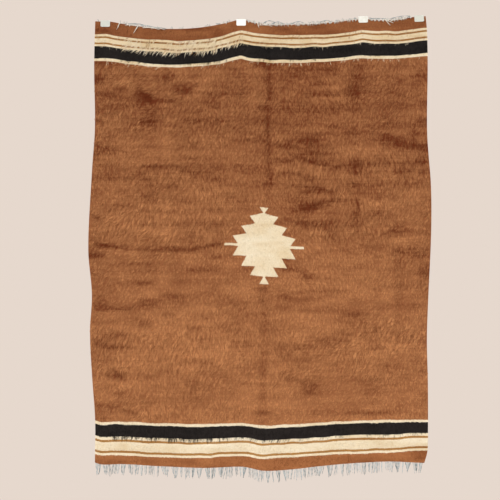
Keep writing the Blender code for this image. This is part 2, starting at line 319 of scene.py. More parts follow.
def edge_span(across, grip):
    """Height of the line between two clips, and the sag below it."""
    line, sag = np.zeros_like(across), np.zeros_like(across)
    for k, (here, after) in enumerate(zip(EDGE, EDGE[1:])):
        start, height, tilt, _, depth, deepest = here
        end, next_height, next_tilt = after[:3]
        inside = (across > start * MM) if k > 0 else np.ones(across.shape, bool)
        start_grip = grip if k > 0 else 0.0
        end_grip = grip if k < len(EDGE) - 2 else 0.0
        length = (end - start) * MM - start_grip - end_grip
        share = np.clip((across - start * MM - start_grip) / length, 0.0, 1.0)
        high = height * MM - math.tan(math.radians(tilt)) * np.minimum(across - start * MM, start_grip)
        low = next_height * MM - math.tan(math.radians(next_tilt)) * np.maximum(across - end * MM, -end_grip)
        bent = share ** (math.log(0.5) / math.log(deepest))
        line = np.where(inside, high + (low - high) * share, line)
        sag = np.where(inside, depth * MM * 4.0 * bent * (1.0 - bent), sag)
    return line, sag


def edge_height(across, drop):
    """Height over the origin of the top edge, or of a weft parallel to it some way below."""
    heights = []
    middle = np.zeros(1)
    for grip in (GRIP, 0.0):
        line, sag = edge_span(across, grip)
        middle_line, middle_sag = edge_span(middle, grip)
        heights.append((line - sag) - (middle_line - middle_sag))
    return heights[0] + (heights[1] - heights[0]) * smooth(drop / POINTED)


def free_of_grip(across, drop):
    """0 where a clip holds the cloth flat, 1 well away from all of them."""
    free = np.ones_like(across)
    for row in EDGE[1:-1]:
        beside = np.maximum(np.abs(across - row[0] * MM) - GRIP, 0.0)
        below = np.maximum(drop - BACK_DROP - GRIP_SIDE, 0.0)
        free *= smooth(np.hypot(beside, below) / GRIP_EASE)
    return free


def fold_depth(fold, across, drop):
    """What one crease adds, full along its line and dying out at its ends and sides."""
    start_x, start_y, end_x, end_y, half_width, depth = (value * MM for value in fold)
    line_x, line_y = end_x - start_x, end_y - start_y
    length = math.hypot(line_x, line_y)
    here_x, here_y = across - start_x, drop - start_y
    along = (here_x * line_x + here_y * line_y) / length**2
    aside = np.abs(here_x * line_y - here_y * line_x) / length
    ease = min(3.0 * half_width / length, 0.5)
    ends = smooth(along / ease + 0.5) * smooth((1.0 - along) / ease + 0.5)
    return depth * ends * np.exp(-((aside / half_width) ** 2))


def creases(across, drop):
    return sum(fold_depth(fold, across, drop) for fold in FOLDS)


def stand_off(across, drop):
    """How far the middle of the cloth stands forward of the clips' plane."""
    out = STAND_OFF * smooth(drop / SETTLED)
    out = out + EDGE_LEAN * edge_span(across, GRIP)[1] * np.exp(-drop / LEAN_REACH)
    out = out + creases(across, drop)
    for place, depth_at, reach, reach_down, depth in BILLOWS:
        aside = (across - place * MM) / (reach * MM)
        below = (drop - depth_at * MM) / (reach_down * MM)
        out = out + depth * MM * np.exp(-(aside**2) - below**2)
    for place, half_width, depth in RIPPLES:
        aside = (across - place * MM) / (half_width * MM)
        out = out + depth * MM * np.exp(-(aside**2) - (CLOTH_DROP - drop) / RIPPLE_REACH)
    return np.maximum(out, -WALL_CLEAR) * free_of_grip(across, drop)


def across_at(share, drop):
    left, right = through(LEFT_SIDE, drop), through(RIGHT_SIDE, drop)
    return left + (right - left) * share


def share_at(across, drop):
    left, right = through(LEFT_SIDE, drop), through(RIGHT_SIDE, drop)
    return (across - left) / (right - left)


def on_cloth(across, drop):
    """The middle of the cloth's thickness there, as rows of points."""
    scallop = edge_height(across, drop) * (1.0 - smooth(drop / EDGE_REACH))
    hang = CLOTH_DROP - through(HEM, across)
    hang = hang * smooth((drop - CLOTH_DROP + HEM_REACH) / HEM_REACH)
    return np.stack([across, -stand_off(across, drop), scallop + hang - drop], axis=-1)


def unit(rows):
    return rows / np.linalg.norm(rows, axis=-1, keepdims=True)


def cloth_frame(across, drop):
    """The middle of the cloth there, the way right and down along it, and the way out of its front."""
    step = 1 * MM
    right = unit(on_cloth(across + step, drop) - on_cloth(across - step, drop))
    above, below = np.maximum(drop - step, 0.0), np.minimum(drop + step, CLOTH_DROP)
    down = unit(on_cloth(across, below) - on_cloth(across, above))
    return on_cloth(across, drop), right, down, unit(np.cross(down, right))


# The pattern


def loom(across, drop):
    """Where a place on the hanging cloth lay on the loom, whose wefts were level."""
    away = np.hypot(across - DIAMOND_AT[0], drop - DIAMOND_AT[1]) / SLANT_REACH
    lower = WEFT_SLANT * (across - DIAMOND_AT[0]) * np.exp(-(away**2))
    lower = lower + through(TOP_WANDER, across) * (1.0 - smooth(drop / WANDER_REACH)) * smooth(drop / 0.03)
    lower = lower + BAND_WAVER * value_noise(across, drop, 0.045, 0.05, 9)
    from_hem = CLOTH_DROP - drop
    lower = lower + through(BOTTOM_WANDER, across) * (1.0 - smooth(from_hem / WANDER_REACH)) * smooth(from_hem / 0.03)
    return across, drop - lower


def in_diamond(across, drop):
    aside, below = np.abs(across - DIAMOND_AT[0]), drop - DIAMOND_AT[1]
    rise = np.abs(below)
    upper = (rise * UPPER_STRETCH + aside * UPPER_LEAN - UPPER_SHIFT - UPPER_START) / UPPER_STEP
    steps = np.where(below < 0.0, upper, (rise - LOWER_START) / LOWER_STEP)
    whole = np.floor(steps)
    half = STEP_BASE - STEP_FALL * np.maximum(whole, 0.0) + STEP_FLARE * np.where(steps > 0, steps - whole, 0.0)
    ends = np.where(below < 0.0, DIAMOND_TOP, DIAMOND_FOOT)
    stepped = (rise < ends) & (aside < np.maximum(half, NECK_HALF))
    return stepped | ((np.abs(below + ARM_RISE) < ARM_HALF) & (aside < ARM_REACH))


def wool_at(across, drop):
    """Which wool a weft is there, as its place among WOOLS."""
    across, drop = loom(across, drop)
    names = list(WOOLS)
    wool = np.zeros(across.shape, int)
    for bands, depth in ((TOP_BANDS, drop), (BOTTOM_BANDS, CLOTH_DROP - drop)):
        inner = 0.0
        for name, width in bands:
            outer = inner + width * MM
            wool[(depth >= inner) & (depth < outer)] = names.index(name)
            inner = outer
    wool[in_diamond(across, drop)] = names.index("cream")
    return wool


def value_noise(x, y, pitch_x, pitch_y, seed):
    """Smooth random values from -1 to 1 with patches of these sizes."""
    grid = np.random.default_rng(seed).uniform(-1.0, 1.0, (512, 512))
    x, y = x / pitch_x + 200.0, y / pitch_y + 100.0
    i, k = np.floor(x).astype(int), np.floor(y).astype(int)
    u, v = smooth(x - i), smooth(y - k)
    i, k = i % 511, k % 511
    low = grid[k, i] * (1 - u) + grid[k, i + 1] * u
    high = grid[k + 1, i] * (1 - u) + grid[k + 1, i + 1] * u
    return low * (1 - v) + high * v


# Painted light and shade where the nap lies lighter or darker in broad patches, as it hangs
LIGHT_AND_SHADE_PATCHES = (
    # across, below the origin, reach across, reach down, lighter or darker
    (-510, 318, 40, 44, -0.22),
    (-350, 285, 45, 22, -0.18),
    (540, 490, 26, 20, -0.20),
    (-630, 1522, 44, 24, -0.30),
    (-400, 860, 150, 60, 0.12),
    (-440, 1300, 220, 110, 0.12),
    (120, 1320, 160, 80, 0.08),
    (420, 560, 120, 22, 0.14),
    (-690, 1630, 60, 20, 0.12),
    (12, 1500, 14, 220, -0.10),
)
# Where the nap is more tufted, or brushed smooth
TUFTED = (
    # across, below the origin, reach across, reach down, more or less
    (-500, 830, 180, 110, 0.45),
    (-220, 740, 150, 40, 0.45),
    (-400, 1370, 260, 120, 0.40),
    (590, 1350, 90, 70, 0.50),
    (410, 1410, 70, 60, 0.35),
    (440, 640, 220, 60, 0.30),
    (-420, 1140, 300, 110, -0.60),
    (430, 1190, 300, 60, -0.50),
    (430, 1620, 300, 90, -0.35),
    (500, 290, 260, 150, -0.25),
)
# Narrow lines of painted shade where the nap has parted down to the weave
PARTINGS = (
    # start across, below the origin, end across, below the origin, half width, darker
    (28, 90, 34, 330, 9, 0.22),
    (24, 400, 40, 700, 8, 0.18),
    (-720, 950, -575, 978, 5, 0.30),
    (-575, 978, -430, 977, 4, 0.20),
    (-430, 972, -290, 978, 9, 0.26),
    (-300, 976, -171, 950, 7, 0.36),
    (110, 560, 225, 602, 7, 0.30),
    (215, 600, 335, 622, 9, 0.36),
    (325, 620, 425, 606, 7, 0.24),
    (418, 606, 600, 600, 7, 0.26),
    (590, 606, 715, 600, 4, 0.18),
    (130, 700, 280, 718, 8, 0.22),
    (125, 815, 300, 768, 9, 0.28),
    (300, 764, 430, 762, 7, 0.22),
    (418, 768, 408, 860, 9, 0.30),
    (560, 760, 625, 780, 6, 0.22),
    (580, 985, 670, 1008, 6, 0.26),
    (660, 440, 658, 535, 6, 0.24),
    (-535, 280, -455, 360, 13, 0.26),
    (-375, 275, -300, 300, 12, 0.24),
    (-305, 440, -250, 412, 4, 0.26),
    (-530, 640, -470, 700, 8, 0.22),
    (-365, 635, -210, 646, 6, 0.20),
    (-335, 1340, -300, 1366, 6, 0.26),
    (-300, 1366, -220, 1362, 5, 0.18),
    (-250, 1276, -165, 1262, 4, 0.24),
    (-125, 1360, -70, 1460, 4, 0.22),
    (-455, 1500, -365, 1508, 7, 0.26),
    (-640, 1500, -590, 1540, 15, 0.30),
    (-718, 1652, -625, 1660, 10, 0.38),
    (-625, 1660, -535, 1688, 7, 0.30),
)


def parted(x, down):
    """How much painted shade a parting in the nap lays on the place, less in some spots than in others."""
    uneven = 0.8 + 0.35 * value_noise(x, down, 0.022, 0.02, 10)
    return uneven * sum(fold_depth(row, x, down) / MM for row in PARTINGS)


def tuftedness(x, down):
    """0 where the nap is brushed smooth, 1 where it stands in tufts."""
    tufted = 0.42 + 0.30 * value_noise(x, down, 0.16, 0.08, 8)
    for place, depth_at, reach, reach_down, change in TUFTED:
        aside = (x - place * MM) / (reach * MM)
        below = (down - depth_at * MM) / (reach_down * MM)
        tufted = tufted + change * np.exp(-(aside**2) - below**2)
    return np.clip(tufted, 0.0, 1.0)


def nap_tone_and_shade(points, across, drop):
    """How much lighter or darker the hair lies there than in its mean: painted light and shade in broad patches, over
    the creases, in the partings and in blotches, with level streaks and tone that differs at random.
    """
    x, down = points[..., 0], -points[..., 2]
    # painted shade: darker towards the top, where the nap lies against the light
    shade = 0.22 * smooth(down / 1.5) - 0.22
    for place, depth_at, reach, reach_down, change in LIGHT_AND_SHADE_PATCHES:
        aside = (x - place * MM) / (reach * MM)
        below = (down - depth_at * MM) / (reach_down * MM)
        shade = shade + change * np.exp(-(aside**2) - below**2)
    # painted shade in the creases' troughs and painted light on their ridges, and painted shade along the partings
    shade = shade + 0.02 / MM * creases(across, drop) - parted(x, down)
    shade = shade + 0.08 * value_noise(x, down, 0.21, 0.13, 1)
    shade = shade + 0.08 * value_noise(x, down, 0.06, 0.035, 2)
    # painted shade in darker blotches where the nap gapes between the locks, and level streaks, as uneven as the brush
    # left them
    blotch = value_noise(x, down, 0.10, 0.028, 5)
    shade = shade - 0.22 * smooth((blotch - 0.35) / 0.5)
    streaked = 1.2 - 0.7 * tuftedness(x, down)
    waved = down + 8 * MM * value_noise(x, down, 0.15, 0.10, 7)
    shade = shade + 0.09 * streaked * value_noise(x, waved, 0.26, 0.014, 3)
    return shade + 0.08 * streaked * value_noise(x, waved, 0.08, 0.020, 4)


# The meshes


def new_piece(name, mesh, material):
    mesh.materials.append(material)
    piece = bpy.data.objects.new(name, mesh)
    bpy.context.collection.objects.link(piece)
    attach(piece, "root")
    return piece


def array_mesh(name, points, faces, values):
    """A mesh from arrays: points, lists of equal faces, and named values of each point."""
    mesh = bpy.data.meshes.new(name)
    mesh.vertices.add(len(points))
    mesh.vertices.foreach_set("co", points.astype(np.float32).ravel())
    corners = np.concatenate([part.ravel() for part in faces])
    counts = np.concatenate([np.full(len(part), part.shape[1]) for part in faces])
    mesh.loops.add(len(corners))
    mesh.loops.foreach_set("vertex_index", corners.astype(np.int32))
    mesh.polygons.add(len(counts))
    starts = np.concatenate([[0], np.cumsum(counts)[:-1]])
    mesh.polygons.foreach_set("loop_start", starts.astype(np.int32))
    for label, data in values.items():
        kind = "FLOAT_VECTOR" if data.ndim == 2 else "FLOAT"
        layer = mesh.attributes.new(label, kind, "POINT")
        layer.data.foreach_set("vector" if data.ndim == 2 else "value", data.astype(np.float32).ravel())
    mesh.update(calc_edges=True)
    mesh.validate()
    mesh.shade_smooth()
    return mesh


def make_cloth(material):
    """A thin closed sheet on the solid's folds."""
    share, drop = np.meshgrid(np.linspace(0, 1, CLOTH_COLUMNS), np.linspace(0, CLOTH_DROP, CLOTH_ROWS))
    share, drop = share.ravel(), drop.ravel()
    across = across_at(share, drop)
    middle, _, _, out = cloth_frame(across, drop)
    points = np.concatenate([middle + out * CLOTH_THICK / 2, middle - out * CLOTH_THICK / 2])
    u, v = loom(across, drop)
    weave = np.stack([u, np.zeros_like(u), v], axis=-1)
    # painted shade: the field's woven ground is darker, in the shadow of the hair over it
    tone = 0.55 - 0.18 * (wool_at(across, drop) == 0) + nap_tone_and_shade(middle, across, drop)
    corner = (np.arange(CLOTH_ROWS - 1)[:, None] * CLOTH_COLUMNS + np.arange(CLOTH_COLUMNS - 1)).ravel()
    front = np.stack([corner, corner + CLOTH_COLUMNS, corner + CLOTH_COLUMNS + 1, corner + 1], axis=-1)
    behind = front[:, ::-1] + len(share)
    last_row, last_column = (CLOTH_ROWS - 1) * CLOTH_COLUMNS, CLOTH_COLUMNS - 1
    rim = np.concatenate(
        [
            np.arange(0, last_column),
            np.arange(last_column, last_row + last_column, CLOTH_COLUMNS),
            np.arange(last_row + last_column, last_row, -1),
            np.arange(last_row, 0, -CLOTH_COLUMNS),
        ]
    )
    after = np.roll(rim, -1)
    side = np.stack([rim, after, after + len(share), rim + len(share)], axis=-1)
    mesh = array_mesh(
        "woven_cloth",
        points,
        [front, behind, side],
        {"weave": np.concatenate([weave, weave]), "tone": np.concatenate([tone, tone * 0 + 0.45])},
    )
    mesh.set_sharp_from_angle(angle=math.radians(60))
    cloth = new_piece("woven_cloth", mesh, material)
    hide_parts("rug_cloth")
    return cloth


def lock_length(across, drop):
    """As long as the nap is tufted in the field, short over the bands and in the diamond."""
    length = SMOOTH_LOCK + (TUFTED_LOCK - SMOOTH_LOCK) * tuftedness(across, drop)
    near = np.hypot((across - DIAMOND_AT[0]) / 0.16, (drop - DIAMOND_AT[1]) / 0.19)
    length = length * (0.65 + 0.35 * smooth((near - 0.8) / 0.5))
    return np.where(wool_at(across, drop) == 0, length, np.where(near < 1.2, DIAMOND_LOCK, BAND_LOCK))


def nap_lean(across, drop):
    """Which way the nap lies, in radians from straight down towards the right."""
    lean = -0.45 + 0.30 * smooth((across + 0.45) / 0.8)
    lean = lean + 0.45 * value_noise(across, drop, 0.24, 0.20, 11)
    return lean + 0.35 * value_noise(across, drop, 0.07, 0.06, 12)


def clear_of_clips(across, drop):
    """False where a lock would lie in a clip's jaw."""
    clear = np.ones(across.shape, bool)
    for row in EDGE[1:-1]:
        beside = np.abs(across - row[0] * MM) < CLIP_WIDTH / 2 + 1.5 * MM
        clear &= ~(beside & (drop < JAW_DROP + 2 * MM))
    return clear


def locks(rng):
    """The roots of the locks, how far each goes across and down, and its own tone and height.

    They root in clumps, in uneven rows, and the locks of a clump draw together towards their tips.
    """
    rows, columns = round(CLOTH_DROP / CLUMP_DOWN), round(CLOTH_WIDTH / CLUMP_ACROSS)
    k, i = (part.ravel() for part in np.indices((rows, columns)))
    count = len(k)
    drop = (k + 0.5) * CLOTH_DROP / rows
    across = across_at((i + rng.uniform(0.0, 1.0, count)) / columns, drop)
    in_field = wool_at(across, drop) == 0
    tufted = tuftedness(across, drop) * in_field
    row_tone = 0.07 * value_noise(across, drop, 0.20, CLOTH_DROP / rows, 14)
    drop = drop + ROW_WOBBLE * value_noise(across, drop, 0.10, 0.05, 13)
    drop = np.clip(drop + rng.uniform(-0.4, 0.4, count) * CLUMP_DOWN, 0.0, CLOTH_DROP)
    wisp = rng.uniform(0.0, 1.0, count) < WISPS * smooth((tufted - 0.3) / 0.5)
    lean = nap_lean(across, drop) + rng.normal(0.0, 0.22, count) - 0.15 * wisp
    length = lock_length(across, drop) * rng.uniform(0.75, 1.2, count) * (1.0 + 0.25 * wisp)
    gather = np.where(wisp, 0.85, rng.uniform(0.30, 0.75, count))
    # painted highlight: the wisps' tone is raised
    clump_tone = row_tone + rng.normal(0.0, 0.04, count) + rng.normal(0.0, 0.08, count) * tufted + 0.14 * wisp
    # the locks of each clump
    shape = (count, LOCKS)
    reach, turn = np.sqrt(rng.uniform(0.0, 1.0, shape)), rng.uniform(0.0, 2 * math.pi, shape)
    aside, below = reach * np.cos(turn), reach * np.sin(turn)
    long = length[:, None] * rng.uniform(0.85, 1.08, shape) * (1.0 - 0.25 * aside**2)
    own_lean = lean[:, None] + rng.normal(0.0, 0.08, shape)
    aside, below = aside * 0.7 * CLUMP_ACROSS, below * 0.45 * CLUMP_DOWN
    go_x = np.sin(own_lean) * long - aside * gather[:, None]
    go_d = np.cos(own_lean) * long - below * gather[:, None] * 0.5
    tone = clump_tone[:, None] + rng.normal(0.0, 0.08, shape)
    high = rng.uniform(0.3, 0.9, shape) + 0.3 * wisp[:, None]
    x, d = across[:, None] + aside, drop[:, None] + below
    return [part.ravel() for part in (x, d, go_x, go_d, tone, high)]


def comb_over(rng, x, d, go_x, go_d):
    """Sweeps some locks of the bands long over the next band, and says which."""
    wool, names = wool_at(x, d), list(WOOLS)
    swept = np.zeros(len(x), bool)
    _, on_loom = loom(x, d)
    for name, start, end, start_drop, end_drop, share, length in COMBED_OVER:
        inside = (x > start * MM) & (x < end * MM) & (on_loom > start_drop * MM) & (on_loom < end_drop * MM)
        tufted = share * (1.0 + 0.9 * value_noise(x, d, 0.011, 0.05, 15))
        here = inside & (wool == names.index(name)) & (rng.uniform(0.0, 1.0, len(x)) < tufted)
        long = length * MM * rng.uniform(0.5, 1.1, len(x))
        lean = nap_lean(x, d) - (0.25 if name == "cream" else 0.0)
        go_x, go_d = np.where(here, np.sin(lean) * long, go_x), np.where(here, np.cos(lean) * long, go_d)
        swept |= here
    return go_x, go_d, swept


def trimmed(rng, x, d, go_x, go_d):
    """What share of each lock is left, so that it keeps to its band but for a short overhang."""
    wool = wool_at(x, d)
    left = np.ones(len(x))
    steps = 10
    for step in range(steps, 0, -1):
        other = wool_at(x + go_x * step / steps, d + go_d * step / steps) != wool
        left = np.where(other, (step - 1) / steps, left)
    uneven = rng.uniform(0.2, 1.3, len(x)) * (1.0 + 0.8 * value_noise(x, d, 0.03, 0.05, 16))
    over = np.array(list(OVERHANG.values()))[wool] * uneven
    run = np.hypot(go_x, go_d)
    left = np.where(left < 1.0, np.minimum(left + over / run, 1.0), 1.0)
    return np.maximum(left, np.minimum(3 * MM / run, 1.0))


def lock_mesh(name, rng, x, d, go_x, go_d, own_tone, high):
    """Locks as flat pointed blades that rise off the cloth and lie down again towards their tips."""
    run = np.hypot(go_x, go_d)
    root, _, _, out = cloth_frame(x, d)
    bend = rng.normal(0.0, 0.10, len(x))
    middle_x, middle_d = x + go_x * 0.5 + go_d * bend, d + go_d * 0.5 - go_x * bend
    tip_x, tip_d = x + go_x, d + go_d
    lowest = np.minimum(tip_d, CLOTH_DROP)
    lift = (1.2 * MM + 3.6 * MM * smooth(run / 0.045)) * high
    middle = on_cloth(middle_x, np.minimum(middle_d, CLOTH_DROP)) + out * (CLOTH_THICK / 2 + lift)[:, None]
    tip = on_cloth(tip_x, lowest) + out * (CLOTH_THICK / 2 + lift * 0.55)[:, None]
    tip[:, 2] -= tip_d - lowest
    root = root + out * (CLOTH_THICK / 2 - 0.3 * MM)
    roll = rng.normal(0.0, 0.55, len(x))
    beside = unit(np.cross(unit(tip - root), out))
    turned = beside * np.cos(roll)[:, None] + out * np.sin(roll)[:, None]
    width = LOCK_WIDTH * rng.uniform(0.6, 1.3, len(x)) * (0.55 + 0.45 * smooth(run / 0.04))
    half = turned * (width / 2)[:, None]
    points = np.stack([root - half * 0.7, root + half * 0.7, middle + half, middle - half, tip], axis=1)
    u, v = loom(x, d)
    weave = np.stack([u, np.zeros_like(u), v], axis=-1)
    tones = []
    for at, at_x, at_d in ((root, x, d), (middle, middle_x, middle_d), (tip, tip_x, tip_d)):
        tones.append(MEAN_TONE + own_tone + nap_tone_and_shade(at, at_x, at_d))
    tone = np.stack([tones[0], tones[0], tones[1], tones[1], tones[2]], axis=1)
    first = np.arange(len(x))[:, None] * 5
    quads, tips = first + np.array([0, 1, 2, 3]), first + np.array([3, 2, 4])
    along = np.tile([0.0, 0.0, 0.5, 0.5, 1.0], len(x))
    values = {"weave": np.repeat(weave, 5, axis=0), "tone": tone.ravel(), "along": along}
    return array_mesh(name, points.reshape(-1, 3), [quads, tips], values)


def make_nap(material):
    """The brushed hair, in a few joined meshes from the top down."""
    rng = np.random.default_rng(NAP_SEED)
    x, d, go_x, go_d, tone, high = locks(rng)
    go_x, go_d, swept = comb_over(rng, x, d, go_x, go_d)
    left = np.where(swept, 1.0, trimmed(rng, x, d, go_x, go_d))
    go_x, go_d = go_x * left, go_d * left
    tip_x, tip_d = x + go_x, d + go_d
    share, tip_share = share_at(x, d), share_at(tip_x, tip_d)
    inside = (share > 0.001) & (share < 0.999) & (d > 2 * MM) & (d < CLOTH_DROP - 1 * MM)
    inside &= (tip_share > 0.0) & (tip_share < 1.0) & (tip_d < CLOTH_DROP + 2 * MM)
    inside &= clear_of_clips(x, d) & clear_of_clips(tip_x, tip_d)
    order = np.argsort(d, kind="stable")
    order = order[inside[order]]
    pieces = []
    for number, chosen in enumerate(np.array_split(order, LOCK_PIECES), start=1):
        name = f"nap_{number}"
        rows = [part[chosen] for part in (x, d, go_x, go_d, tone, high)]
        pieces.append(new_piece(name, lock_mesh(name, rng, *rows), material))
    return pieces


def yarn_mesh(name, strands, rng):
    """Two-ply warp ends joined in one mesh. A strand is its points, its radius and its tone."""
    sides, points, quads, tones, alongs = 6, [], [], [], []
    start = 0
    for path, radius, tone in strands:
        twist = rng.uniform(0.0, math.pi)
        for k, at in enumerate(path):
            before, after = path[max(k - 1, 0)], path[min(k + 1, len(path) - 1)]
            way = (after - before).normalized()
            aside = way.cross(Vector((0.0, 1.0, 0.02))).normalized()
            ahead = aside.cross(way)
            share = k / (len(path) - 1)
            size = radius * (1.0 - 0.45 * share**3)
            for j in range(sides):
                turn = 2 * math.pi * j / sides
                ply = size * (0.82 + 0.30 * math.cos(2 * turn))
                turned = turn + twist + k * 0.9
                points.append(at + (aside * math.cos(turned) + ahead * math.sin(turned)) * ply)
                tones.append(tone)
                alongs.append(share)
        for k in range(len(path) - 1):
            for j in range(sides):
                ring, beside = start + k * sides + j, start + k * sides + (j + 1) % sides
                quads.append((ring, beside, beside + sides, ring + sides))
        ends = [start + j for j in range(sides)], [start + (len(path) - 1) * sides + j for j in range(sides)]
        quads.append((ends[0][3], ends[0][2], ends[0][1], ends[0][0]))
        quads.append((ends[0][5], ends[0][4], ends[0][3], ends[0][0]))
        quads.append((ends[1][0], ends[1][1], ends[1][2], ends[1][3]))
        quads.append((ends[1][0], ends[1][3], ends[1][4], ends[1][5]))
        start += len(path) * sides
    values = {"tone": np.array(tones), "along": np.array(alongs)}
    return array_mesh(name, np.array([tuple(p) for p in points]), [np.array(quads)], values)


def edge_points(across, drop):
    """Frames on the cloth's edge, as lists of vectors."""
    rows = cloth_frame(np.array(across), np.full(len(across), drop))
    return [[Vector(row) for row in part] for part in rows]


def make_fringe_bottom(material):
    """Cut warp ends in bunches, which close or open towards their tips."""
    rng = random.Random(5)
    start, end = float(through(LEFT_SIDE, CLOTH_DROP)), float(through(RIGHT_SIDE, CLOTH_DROP))
    roots, across = [], start + 3 * MM
    while across < end - 3 * MM:
        count = rng.randint(2, 8)
        drawn = rng.uniform(-6.0, 6.0) * MM
        closing = rng.choice((-0.35, 0.15, 0.5, 0.75)) + rng.uniform(-0.15, 0.15)
        bunch = 50 * MM * rng.uniform(0.85, 1.1)
        for k in range(count):
            if across > end - 2 * MM:
                break
            pull = drawn - closing * 5.0 * MM * (k - (count - 1) / 2) + rng.uniform(-3.0, 3.0) * MM
            roots.append((across, pull, bunch * rng.uniform(0.8, 1.06), rng.uniform(-2.0, 4.5) * MM))
            across += rng.uniform(3.8, 5.6) * MM
        across += rng.uniform(2.0, 9.0) * MM
    at, _, down, out = edge_points([root[0] for root in roots], CLOTH_DROP)
    strands = []
    for k, (_, pull, length, curl) in enumerate(roots):
        wave, phase = rng.uniform(0.4, 1.8) * MM, rng.uniform(0.0, 6.0)
        path = []
        for step in range(9):
            share = step / 8
            place = at[k] + down[k] * (length * share - 2 * MM) + out[k] * curl * share**1.6
            place += Vector((pull * share**1.3 + wave * math.sin(phase + 5.0 * share) * share, 0.0, 0.0))
            path.append(place)
        strands.append((path, rng.uniform(1.3, 1.9) * MM, rng.uniform(0.0, 0.75)))
    mesh = yarn_mesh("warp_ends_bottom", strands, rng)
    fringe = new_piece("warp_ends_bottom", mesh, material)
    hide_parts("fringe_bottom")
    return fringe


TOP_LEFT = (
    # across, share of the warp ends left from here on, how many of them are knotted over the front
    (-722, 0.10, 0.0),
    (-612, 0.50, 0.1),
    (-420, 0.12, 0.0),
    (-275, 0.60, 0.0),
    (-165, 0.90, 0.2),
    (-60, 0.80, 0.5),
    (45, 0.95, 0.9),
    (440, 0.95, 0.8),
    (645, 0.20, 0.0),
)
FALLEN = (
    # across, reach across, length down the front
    (-610, -16, 27),
    (-529, -24, 29),
    (-18, 8, 20),
    (531, 26, 22),
    (531, 40, 12),
)
LAID = (
    # start across, height over the edge, end across, height over the edge, bow, tone, the darker tones partly darker
    # yarn and partly painted shade
    (-612, 0, -545, 2, 5, 0.9),
    (-590, -4, -525, -2, 3, 1.0),
    (-575, 4, -508, 7, 5, 0.1),
    (-548, 2, -500, 3, 8, 0.2),
    (-524, 3, -455, 1, 6, 0.6),
    (-515, -4, -440, -5, 4, 1.0),
    (-490, -1, -415, -4, 3, 0.9),
    (-460, 3, -405, -1, 2, 0.2),
    (-10, -7, 48, -8, 3, 1.0),
    (5, -3, 62, -4, 3, 0.9),
    (8, 3, 60, 8, 9, 0.1),
    (52, 7, 98, 2, 7, 0.2),
    (130, 2, 180, 6, 8, 0.1),
    (255, 4, 300, 3, 7, 0.2),
    (470, 2, 545, 4, 5, 0.3),
    (555, -5, 610, -4, 4, 1.0),
    (560, 5, 640, 7, 6, 0.3),
)


def make_fringe_top(material):
    """Frayed warp ends, some of them knotted over the front, fallen down it or laid along the edge."""
    rng = random.Random(9)
    start, end = float(through(LEFT_SIDE, 0.0)), float(through(RIGHT_SIDE, 0.0))
    clips = [row[0] * MM for row in EDGE[1:-1]]
    roots, across = [], start + 4 * MM
    while across < end - 4 * MM:
        left, knotted = [row[1:] for row in TOP_LEFT if row[0] * MM <= across][-1]
        gripped = any(abs(across - place) < CLIP_WIDTH / 2 + 3 * MM for place in clips)
        if not gripped and rng.random() < left:
            roots.append((across, rng.random() < knotted))
        across += rng.uniform(4.6, 6.4) * MM
    at, _, down, out = edge_points([root[0] for root in roots], 0.0)
    front = CLOTH_THICK / 2
    strands = []
    for k, (_, knotted) in enumerate(roots):
        if knotted:
            thick, low = rng.uniform(2.0, 2.7) * MM, rng.uniform(4.0, 8.0) * MM
            aside = Vector((rng.uniform(-2.0, 2.0) * MM, 0.0, 0.0))
            heights = ((3.5 * MM, 0.0), (2.5 * MM, 2.0 * MM), (0.0, front + thick), (-low, front + thick))
            path = [at[k] - down[k] * rise + out[k] * clear + aside * (1.0 - rise / low) for rise, clear in heights]
            strands.append((path, thick, rng.uniform(0.85, 1.0)))
        for _ in range(rng.choice((1, 2, 2, 3))):
            lean = rng.choice((-1, 1)) * rng.uniform(0.1, 1.0)
            length, forward = rng.uniform(7.0, 15.0) * MM, rng.uniform(-1.0, 3.0) * MM
            path = []
            for step in range(5):
                share = step / 4
                rise = length * math.cos(lean * share) * share - 1.5 * MM
                place = at[k] - down[k] * rise + out[k] * forward * share
                path.append(place + Vector((length * math.sin(lean) * share**1.5, 0.0, 0.0)))
            # the darker ends are partly darker warp yarn and partly painted shade, where they stand in shadow behind
            # the edge
            strands.append((path, rng.uniform(0.7, 1.3) * MM, rng.choice((0.0, 0.1, 0.3, 0.9, 1.0))))
    at, _, down, out = edge_points([row[0] * MM for row in FALLEN], 0.0)
    for k, (_, reach, length) in enumerate(FALLEN):
        for twin in (-1.2, 1.2):
            path = []
            for step in range(8):
                share = step / 7
                rise = 4 * MM * math.sin(min(share * 3.2, 1.0) * math.pi) - length * MM * max(share - 0.2, 0.0) / 0.8
                clear = (front + 3.6 * MM) * min(share * 3.5, 1.0)
                place = at[k] - down[k] * rise + out[k] * clear
                path.append(place + Vector((reach * MM * share + twin * (1.0 - share) * MM, 0.0, 0.0)))
            strands.append((path, 1.6 * MM, 1.0))
    for start, low, end, high, bow, tone in LAID:
        places = [start + (end - start) * step / 9 for step in range(10)]
        at, _, down, out = edge_points([place * MM for place in places], 0.0)
        path = []
        for step in range(10):
            share = step / 9
            rise = low + (high - low) * share + bow * 4 * share * (1 - share) + rng.uniform(-0.6, 0.6)
            clear = front + rng.uniform(1.8, 2.6) * MM
            path.append(at[step] - down[step] * rise * MM + out[step] * clear)
        strands.append((path, rng.uniform(1.3, 1.9) * MM, tone))
    mesh = yarn_mesh("warp_ends_top", strands, rng)
    fringe = new_piece("warp_ends_top", mesh, material)
    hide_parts("fringe_top")
    return fringe


